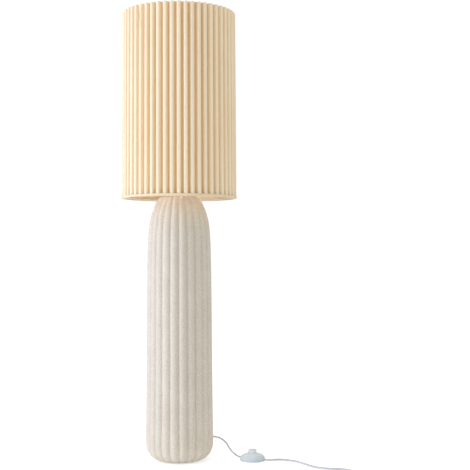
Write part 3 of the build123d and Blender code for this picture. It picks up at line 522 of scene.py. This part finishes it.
def profile_curve(points, per):
    """Smooth curve through (z, r) points, by centripetal Catmull-Rom."""
    p = np.array([(r, z) for z, r in points], float)
    p = np.vstack([2 * p[0] - p[1], p, 2 * p[-1] - p[-2]])
    out = []
    for i in range(1, len(p) - 2):
        p0, p1, p2, p3 = p[i - 1], p[i], p[i + 1], p[i + 2]
        d = [math.sqrt(np.linalg.norm(b - a)) + 1e-9 for a, b in ((p0, p1), (p1, p2), (p2, p3))]
        n = max(2, int(np.linalg.norm(p2 - p1) / per))
        for s in np.linspace(0, 1, n, endpoint=False):
            t0, t1 = 0.0, d[0]
            t2, t3 = t1 + d[1], t1 + d[1] + d[2]
            t = t1 + s * (t2 - t1)
            a1 = (t1 - t) / (t1 - t0) * p0 + (t - t0) / (t1 - t0) * p1
            a2 = (t2 - t) / (t2 - t1) * p1 + (t - t1) / (t2 - t1) * p2
            a3 = (t3 - t) / (t3 - t2) * p2 + (t - t2) / (t3 - t2) * p3
            b1 = (t2 - t) / (t2 - t0) * a1 + (t - t0) / (t2 - t0) * a2
            b2 = (t3 - t) / (t3 - t1) * a2 + (t - t1) / (t3 - t1) * a3
            out.append((t2 - t) / (t2 - t1) * b1 + (t - t1) / (t2 - t1) * b2)
    out.append(p[-2])
    return np.array(out)


def make_body():
    rng = np.random.default_rng(23)
    per_rib = 20
    nv = RIBS * per_rib
    pitch = TAU / RIBS
    theta = math.radians(RIB_VALLEY_AT) + np.arange(nv) * TAU / nv
    outer = profile_curve(BODY_PROFILE, 2.6)
    # ribs: arcs of one circle each, which meet in valleys that the glaze has softened
    w = (BODY_R - RIB_DEPTH) * math.sin(pitch / 2)
    h = BODY_R - (BODY_R - RIB_DEPTH) * math.cos(pitch / 2)
    rho = (w * w + h * h) / (2 * h)
    crest = np.radians(RIB_VALLEY_AT) + pitch * (np.arange(RIBS) + 0.5)
    jitter = rng.normal(0, math.radians(0.16), RIBS)
    swell = rng.normal(0, 0.10, RIBS)
    drift_phase = rng.uniform(0, TAU, (RIBS, 2))
    rows = []
    for r_crest, z in outer:
        k = r_crest / BODY_R
        fade = 1.0
        t = z / 743.0
        lean = math.radians(0.16) * np.sin(2.1 * t * math.pi + drift_phase[:, 0])
        rr = rho * (1 + swell * 0.5)
        c = BODY_R - rr
        best = np.zeros((RIBS, nv))
        for i in range(RIBS):
            a = crest[i] + jitter[i] + lean[i]
            d = (theta - a + math.pi) % TAU - math.pi
            s = np.sin(d)
            inside = rr[i] ** 2 - (c[i] * s) ** 2
            r = np.where((np.abs(d) < 0.9) & (inside > 0), c[i] * np.cos(d) + np.sqrt(np.maximum(inside, 0)), 0.0)
            best[i] = r
        top2 = np.sort(best, axis=0)[-2:]
        a, b = top2[1], top2[0]
        kk = 0.7
        gap = np.clip(1 - np.abs(a - b) / kk, 0, 1)
        prof = a + kk / 4 * gap ** 2
        depth = BODY_R - prof
        rows.append(r_crest - depth * k * fade)
    rows = np.array(rows)
    rows += 0.10 * smooth_noise(rng, nv, 5)[None, :]
    ring = [np.column_stack([r * np.cos(theta), r * np.sin(theta), np.full(nv, z)]) for r, z in zip(rows, outer[:, 1])]
    body = np.array(ring)
    # pad pressed flat round the cord's hole
    ax = np.array(at_az(1, ENTRY_AZ))
    side = np.array(at_az(1, ENTRY_AZ + 90))
    rel = body.reshape(-1, 3) - np.array([0, 0, ENTRY_Z])
    x, y, zz = rel @ ax, rel @ side, rel[:, 2]
    d = np.hypot(y, zz)
    f = np.clip((15.5 - d) / (15.5 - 9.0), 0, 1)
    f = f * f * (3 - 2 * f) * (x > 60)
    new_x = x + (92.0 - x) * f
    flat = np.outer(new_x, ax) + np.outer(y, side) + np.outer(zz, [0, 0, 1]) + np.array([0, 0, ENTRY_Z])
    body = flat.reshape(body.shape)
    # the rest of the section: top seat, bore, cavity, foot rebate
    def circle(r, z):
        return np.column_stack([r * np.cos(theta), r * np.sin(theta), np.full(nv, z)])
    top_r = rows[-1]
    loops = [circle(47.6, 1.5), circle(50.0, 1.5)] + list(body)
    for s in (0.5, 0.85):
        loops.append(np.column_stack([(top_r * (1 - s) + 26.0 * s) * np.cos(theta), (top_r * (1 - s) + 26.0 * s) * np.sin(theta), np.full(nv, 743.0)]))
    loops += [circle(r, z) for r, z in [
        (26.0, 743.0), (12.0, 743.0), (7.0, 743.0), (6.2, 742.2), (6.2, 731.0), (22.0, 731.0), (34.0, 727.0), (46.0, 719.0),
        (53.6, 711.0), (66.0, 680.0), (73.3, 640.0), (76.5, 580.0), (78.5, 440.0), (79.7, 250.0), (81.8, 50.0), (80.0, 37.0),
        (74.0, 27.0), (62.0, 20.0), (38.6, 20.0), (38.0, 19.4), (38.0, 12.0), (38.5, 11.5), (43.4, 11.5), (43.4, 2.0), (43.9, 1.5),
    ]]
    grid = np.array(loops) * MM
    nu = len(grid)
    o = mesh_object("stoneware_body", grid.reshape(-1, 3), torus_grid(nu, nv), M["stoneware"])
    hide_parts("ceramic_body")
    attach(o, "lamp")
    return o


# ------------------------------------------------------------------ shade
SHADE_LOW, SHADE_HIGH = 724.7, 1240.2
SHADE_R_LOW, SHADE_R_HIGH = 160.0, 157.8
PLEATS, PLEAT_VALLEY_AT, PLEAT_DEPTH = 53, -90.35, 12.0
CLOTH = 0.55


def make_pleats():
    """One long strip of cloth, folded into round pleats and sewn to itself at the back."""
    rng = np.random.default_rng(53)
    pitch = TAU / PLEATS
    # one pleat unrolled, in millimetres across and above the valley: narrow valley, steep
    # flanks, nearly flat front; the cloth rounds every fold
    wide = pitch * (SHADE_R_LOW - PLEAT_DEPTH / 2)
    bottom, run = 1.1, 4.1
    corners = [(0.0, 0.0), (bottom, 0.0), (bottom + run, PLEAT_DEPTH - 0.6), (wide * 0.38, PLEAT_DEPTH - 0.15), (wide * 0.5, PLEAT_DEPTH)]
    corners += [(wide - x, h) for x, h in corners[-2:0:-1]] + [(wide, 0.0)]
    line = np.array(corners)
    step = np.concatenate([[0], np.cumsum(np.hypot(*np.diff(line, axis=0).T))])
    fine = np.arange(0, step[-1], 0.1)
    fx, fh = np.interp(fine, step, line[:, 0]), np.interp(fine, step, line[:, 1])
    n_fine = len(fine)
    reach = 40
    kern = np.exp(-(np.arange(-reach, reach + 1) * 0.1) ** 2 / (2 * 0.75 ** 2))
    kern /= kern.sum()
    fx3 = np.concatenate([fx - wide, fx, fx + wide])
    fh3 = np.concatenate([fh, fh, fh])
    fx = np.convolve(fx3, kern, "same")[n_fine:2 * n_fine]
    fh = np.convolve(fh3, kern, "same")[n_fine:2 * n_fine]
    n_one = 32
    pick = np.linspace(0, n_fine, n_one, endpoint=False).astype(int)
    xs = fx[pick] / wide
    hs = (fh[pick] - fh.min()) / (fh.max() - fh.min())
    width = 1 + rng.normal(0, 0.022, PLEATS)
    width *= PLEATS / width.sum()
    start = np.concatenate([[0], np.cumsum(width)[:-1]])
    high = 1 + rng.normal(0, 0.016, PLEATS)
    skew = rng.normal(0, 0.022, PLEATS)
    sway = rng.uniform(0, TAU, (PLEATS, 3))
    zs = np.concatenate([[0, 0.003, 0.01, 0.022], np.linspace(0.04, 0.85, 36), np.linspace(0.865, 0.985, 18), [0.992, 0.997, 1.0]])
    rings, painted_fold_shades = [], []
    for s in zs:
        z = SHADE_LOW + 0.9 + s * (SHADE_HIGH - SHADE_LOW - 0.9)
        crest_r = SHADE_R_LOW + s * (SHADE_R_HIGH - SHADE_R_LOW)
        valley_r = crest_r - PLEAT_DEPTH
        line, painted_fold_shade = [], []
        for i in range(PLEATS):
            k = skew[i] + 0.002 * math.sin(TAU * 0.8 * s + sway[i, 0])
            hh = PLEAT_DEPTH * high[i] * (1 + 0.005 * math.sin(TAU * 1.1 * s + sway[i, 1]))
            x = xs + k * hs * hs
            a = math.radians(PLEAT_VALLEY_AT) + (start[i] + x * width[i]) * pitch
            r = valley_r + 0.3 + hs * (min(hh, PLEAT_DEPTH + 0.4) - 0.3)
            line.append(np.column_stack([r * np.cos(a), r * np.sin(a), np.full(n_one, z)]))
            # amount of painted shade: 1 deep in the valley, none towards the crest
            painted_fold_shade.append(np.clip(1 - hs * 1.15, 0, 1) ** 1.2)
        rings.append(np.vstack(line))
        painted_fold_shades.append(np.concatenate(painted_fold_shade))
    outer = np.array(rings)
    nu, nv = outer.shape[:2]
    # a small crease pressed into one pleat near the top
    ca = math.radians(-128.0)
    pa = np.arctan2(outer[..., 1], outer[..., 0])
    dz = (outer[..., 2] - 1200.0) / 30.0
    bend = 0.030 * (np.clip(np.abs(dz - 0.27), 0, 1.3) - 0.4)
    da = ((pa - ca - bend + math.pi) % TAU - math.pi) / 0.011
    dent = np.exp(-dz ** 4) * (4.0 * np.exp(-(da + 0.8) ** 2) - 1.5 * np.exp(-(da - 0.8) ** 2))
    dent += 4.5 * np.exp(-((dz - 0.27) / 0.20) ** 2 - (da / 1.1) ** 2)
    rad = np.hypot(outer[..., 0], outer[..., 1])
    outer[..., 0] *= 1 - dent / rad
    outer[..., 1] *= 1 - dent / rad
    # inner face, one cloth thickness in
    nxt, prv = np.roll(outer, -1, 1), np.roll(outer, 1, 1)
    tan = nxt - prv
    tan[..., 2] = 0
    tan /= np.linalg.norm(tan, axis=-1, keepdims=True) + 1e-12
    nrm = np.stack([tan[..., 1], -tan[..., 0], np.zeros(tan.shape[:2])], -1)
    inner = outer - nrm * CLOTH
    # cloth length along the ring, for the weave
    seg = np.linalg.norm(nxt - outer, axis=-1)
    u = np.cumsum(seg, 1) - seg
    uv_o = np.stack([u, outer[..., 2]], -1) * MM
    grid = np.concatenate([outer, inner[::-1]], 0)
    uv = np.concatenate([uv_o, uv_o[::-1]], 0)
    painted_fold_shade = np.concatenate([np.array(painted_fold_shades), np.array(painted_fold_shades)[::-1]], 0)
    o = mesh_object("pleated_cover", grid.reshape(-1, 3) * MM, torus_grid(2 * nu, nv), M["pleats"], uvs=uv.reshape(-1, 2), painted_fold_shade=painted_fold_shade.ravel())
    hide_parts("shade_pleats")
    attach(o, "shade")
    return o


def make_band():
    """Tape glued round the lower rim: up the pleats' outside, and under them to the liner."""
    rng = np.random.default_rng(7)
    nv = PLEATS * 10
    th = math.radians(PLEAT_VALLEY_AT) + np.arange(nv) * TAU / nv
    ph = (np.arange(nv) % 10) / 10 * TAU
    dip = 0.5 * (1 + np.cos(ph))          # 1 over a valley, 0 over a crest
    wob = smooth_noise(rng, nv, 30)
    # section of the outer face of the tape, from the liner's edge out and up
    section = [(146.2, 724.78, 0.0), (150.0, 724.74, 0.0), (156.0, 724.72, 0.0), (159.6, 724.74, 0.1), (160.45, 725.05, 0.2),
               (160.75, 725.8, 0.35), (160.75, 728.0, 0.55), (160.72, 730.2, 0.75), (160.6, 731.2, 0.9)]
    outer = []
    for r, z, f in section:
        rr = r - 0.55 * f * dip + 0.05 * f * wob
        zz = z + 0.12 * f * wob
        outer.append(np.column_stack([rr * np.cos(th), rr * np.sin(th), zz]))
    outer = np.array(outer)
    inner = []
    for (r, z, f) in [(160.15, 731.15, 0.9), (160.2, 729.6, 0.7), (160.2, 727.2, 0.5), (160.1, 725.9, 0.3), (159.4, 725.35, 0.1), (150.0, 725.3, 0.0), (146.2, 725.3, 0.0)]:
        rr = r - 0.55 * f * dip + 0.05 * f * wob
        inner.append(np.column_stack([rr * np.cos(th), rr * np.sin(th), np.full(nv, z) + 0.12 * f * wob]))
    grid = np.concatenate([outer, np.array(inner)], 0)
    o = mesh_object("rim_tape", grid.reshape(-1, 3) * MM, torus_grid(len(grid), nv), M["tape"])
    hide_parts("shade_band")
    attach(o, "shade")
    return o


make_body()
make_pleats()
make_band()


# ------------------------------------------------------------------ cords
CORD_D = 5.2
SW_X, SW_Y, SW_AZ = 202.3, -15.0, -27.0
SW_CORD_Z = 5.2
SW_DIR = at_az(1, SW_AZ)


def sw(r):
    return (SW_X + r * SW_DIR[0], SW_Y + r * SW_DIR[1], SW_CORD_Z)


base_points = [
    at_az(113.0, ENTRY_AZ, ENTRY_Z), at_az(128.0, ENTRY_AZ, ENTRY_Z), (106.0, 93.6, 43.2), (119.8, 91.5, 36.4),
    (130.3, 82.1, 27.8), (136.0, 67.0, 20.6), (141.5, 52.5, 15.4), (148.0, 38.0, 11.2), (156.0, 20.5, 7.8), sw(-39.5), sw(-22.0),
]
switch_points = [
    sw(24.0), sw(38.0), (249.3, -35.9, 5.0), (261.9, -33.3, 5.0), (275.2, -26.7, 4.6), (289.5, -25.6, 3.5), (304.2, -29.6, 2.8),
    (318.2, -39.6, 2.7), (330.2, -54.3, 2.7), (342.2, -74.0, 2.7), (355.2, -97.0, 2.7), (371.5, -117.0, 2.7), (392.5, -129.0, 2.7),
    (414.0, -134.8, 2.7), (431.5, -137.0, 2.7), (447.5, -142.5, 2.7), (459.6, -155.0, 2.7), (465.6, -171.6, 2.7),
    (466.6, -188.0, 2.7), (466.2, -206.0, 2.8), (466.3, -224.0, 3.2), (466.0, -242.0, 3.7),
]
COIL_X, COIL_Y = 431.4, -256.0


def coil_points():
    """Turns wound clockwise seen from above: two layers of three and a single turn on top, from outside in and back."""
    step, out = 15, []
    lanes = [34.6, 29.4, 24.2]
    plan = [(r, 3.7) for r in lanes] + [(r, 8.9) for r in lanes[::-1]] + [(34.6, 14.1)]
    a = 0.0
    # each turn keeps its lane and steps across to the next in its last fifth
    for i, (r, z) in enumerate(plan):
        r2, z2 = plan[i + 1] if i + 1 < len(plan) else (33.0, 14.1)
        for k in range(360 // step):
            f = max(0.0, (k * step / 360 - 0.80) / 0.20)
            f = f * f * (3 - 2 * f)
            ang = a - k * step
            out.append((COIL_X + (r + (r2 - r) * f) * math.cos(math.radians(ang)), COIL_Y + (r + (r2 - r) * f) * math.sin(math.radians(ang)), z + (z2 - z) * f))
    # a last quarter turn, then off the coil towards the plug
    for ang in (0, -15, -30, -45, -60, -75, -88):
        out.append((COIL_X + 33.0 * math.cos(math.radians(ang)), COIL_Y + 33.0 * math.sin(math.radians(ang)), 14.1))
    return out


tail_points = [(417.0, -289.6, 13.6), (405.0, -291.4, 12.4), (392.5, -292.3, 9.8), (380.0, -292.0, 7.0), (368.0, -292.0, 7.0)]


def cord_curve(name, points, replaces, body="lamp"):
    cu = bpy.data.curves.new(name, "CURVE")
    cu.dimensions = "3D"
    sp = cu.splines.new("NURBS")
    sp.points.add(len(points) - 1)
    for p, q in zip(sp.points, points):
        p.co = (q[0] * MM, q[1] * MM, q[2] * MM, 1.0)
    sp.order_u = 3
    sp.use_endpoint_u = True
    sp.resolution_u = 8
    cu.bevel_depth = CORD_D / 2 * MM
    cu.bevel_resolution = 6
    cu.use_fill_caps = True
    o = bpy.data.objects.new(name, cu)
    scene.collection.objects.link(o)
    cu.materials.append(M["cord"])
    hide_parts(*replaces)
    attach(o, body)
    return o


def line_length(o):
    cu = o.data.copy()
    cu.bevel_depth = 0.0
    tmp = bpy.data.objects.new("tmp", cu)
    scene.collection.objects.link(tmp)
    me = bpy.data.meshes.new_from_object(tmp)
    co = np.array([v.co for v in me.vertices])
    bpy.data.objects.remove(tmp)
    return float(np.linalg.norm(np.diff(co, axis=0), axis=1).sum())


cord_a = cord_curve("cord_to_switch", base_points, ["cord_base_run"])
cord_b = cord_curve("cord_to_plug", switch_points + coil_points()[1:] + tail_points, ["cord_switch_run", "cord_coil", "cord_tail"])
len_a, len_b = line_length(cord_a), line_length(cord_b)
print("cord lengths", round(len_a, 3), round(len_b, 3))


# ------------------------------------------------------------------ return spring
def make_spring():
    """Spring wire wound under the foot button, drawn at its rest length; on the real switch it shortens as the button
    goes down.
    """
    low, high, pitch, radius, wire = 9.1, 27.0, 2.9, 5.2, 0.35
    turns = (high - low) / pitch
    t = np.linspace(0, turns * TAU, int(turns * 30) + 1)
    out = np.column_stack([np.cos(t), np.sin(t), np.zeros(len(t))])
    centre = np.array([SW_X, SW_Y, low]) + radius * out + np.column_stack([0 * t, 0 * t, pitch * t / TAU])
    tan = np.gradient(centre, axis=0)
    tan /= np.linalg.norm(tan, axis=1, keepdims=True)
    side = np.cross(tan, out)
    a = np.arange(12) * TAU / 12
    grid = centre[:, None, :] + wire * (np.cos(a)[None, :, None] * out[:, None, :] + np.sin(a)[None, :, None] * side[:, None, :])
    nu, nv = grid.shape[:2]
    faces = []
    for u in range(nu - 1):
        for v in range(nv):
            w = (v + 1) % nv
            faces.append((u * nv + v, u * nv + w, (u + 1) * nv + w, (u + 1) * nv + v))
    faces.append(tuple(range(nv))[::-1])
    faces.append(tuple((nu - 1) * nv + v for v in range(nv)))
    o = mesh_object("return_spring", grid.reshape(-1, 3) * MM, faces, M["spring"])
    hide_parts("switch_spring")
    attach(o, "lamp")
    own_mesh(o)
    return o


make_spring()


# ------------------------------------------------------------------ floor and light
def make_floor():
    me = bpy.data.meshes.new("floor")
    s = 14.0
    me.from_pydata([(-s, -s, -0.0001), (s, -s, -0.0001), (s, s, -0.0001), (-s, s, -0.0001)], [], [(0, 1, 2, 3)])
    o = bpy.data.objects.new("floor", me)
    scene.collection.objects.link(o)
    mat, nt, b = new_material("floor_paint")
    v = coords(nt)
    col = mixed(nt, ranged(nt, noise(nt, v, 3.0, 3.0), 0.3, 0.7, 0.0, 1.0), (0.93, 0.93, 0.93), (0.95, 0.95, 0.95))
    nt.links.new(col, b.inputs["Base Color"])
    b.inputs["Roughness"].default_value = 0.95
    b.inputs["Specular IOR Level"].default_value = 0.0
    # the white sweep glows a little, as in a light tent, and is seen brighter than it glows
    path = put(nt, "ShaderNodeLightPath")
    nt.links.new(ranged(nt, path.outputs["Is Camera Ray"], 0.0, 1.0, 0.20, 0.44), b.inputs["Emission Strength"])
    b.inputs["Emission Color"].default_value = (0.96, 0.99, 1.0, 1)
    me.materials.append(mat)
    return o


make_floor()

world = bpy.data.worlds.new("studio")
scene.world = world
world.use_nodes = True
wn = world.node_tree
wn.nodes.clear()
w_out = wn.nodes.new("ShaderNodeOutputWorld")
w_bg = wn.nodes.new("ShaderNodeBackground")
w_bg.inputs["Color"].default_value = (1.0, 0.985, 0.945, 1)
w_bg.inputs["Strength"].default_value = 0.685
w_see = wn.nodes.new("ShaderNodeBackground")
w_see.inputs["Color"].default_value = (1, 1, 1, 1)
w_see.inputs["Strength"].default_value = 1.05
w_path = wn.nodes.new("ShaderNodeLightPath")
w_mix = wn.nodes.new("ShaderNodeMixShader")
wn.links.new(w_path.outputs["Is Camera Ray"], w_mix.inputs[0])
wn.links.new(w_bg.outputs[0], w_mix.inputs[1])
wn.links.new(w_see.outputs[0], w_mix.inputs[2])
wn.links.new(w_mix.outputs[0], w_out.inputs["Surface"])


def area_light(name, place, target, size, power, color=(1, 1, 1)):
    ld = bpy.data.lights.new(name, "AREA")
    ld.shape = "RECTANGLE"
    ld.size, ld.size_y = size
    ld.energy = power
    ld.color = color
    o = bpy.data.objects.new(name, ld)
    scene.collection.objects.link(o)
    o.location = place
    d = Vector(target) - Vector(place)
    o.rotation_euler = d.to_track_quat("-Z", "Y").to_euler()
    return o


# a tall soft box on the left, just ahead of the lamp
area_light("key", (*at_az(3.0, -160.0)[:2], 0.62), (0, 0, 0.55), (1.0, 2.0), 44.0, (0.98, 1.03, 1.30))
area_light("key_front", (*at_az(3.0, -135.0)[:2], 0.62), (0, 0, 0.55), (1.0, 2.0), 7.0, (1.0, 1.03, 1.22))
area_light("edge", (*at_az(3.0, 20.0)[:2], 0.7), (0, 0, 0.6), (1.0, 2.0), 4.0)
area_light("overhead", (0, -0.6, 3.6), (0, 0, 0), (2.4, 2.4), 6.0)
# light that falls into the shade from above and warms on its liner
inside = area_light("inside", (0, 0, 1.62), (0, 0, 0.7), (0.20, 0.20), 0.17, (1.0, 0.73, 0.52))
inside.data.spread = math.radians(24)
inside.visible_camera = False

scene.view_settings.view_transform = "Standard"
scene.view_settings.look = "None"
scene.view_settings.exposure = 0.0
scene.view_settings.gamma = 1.0
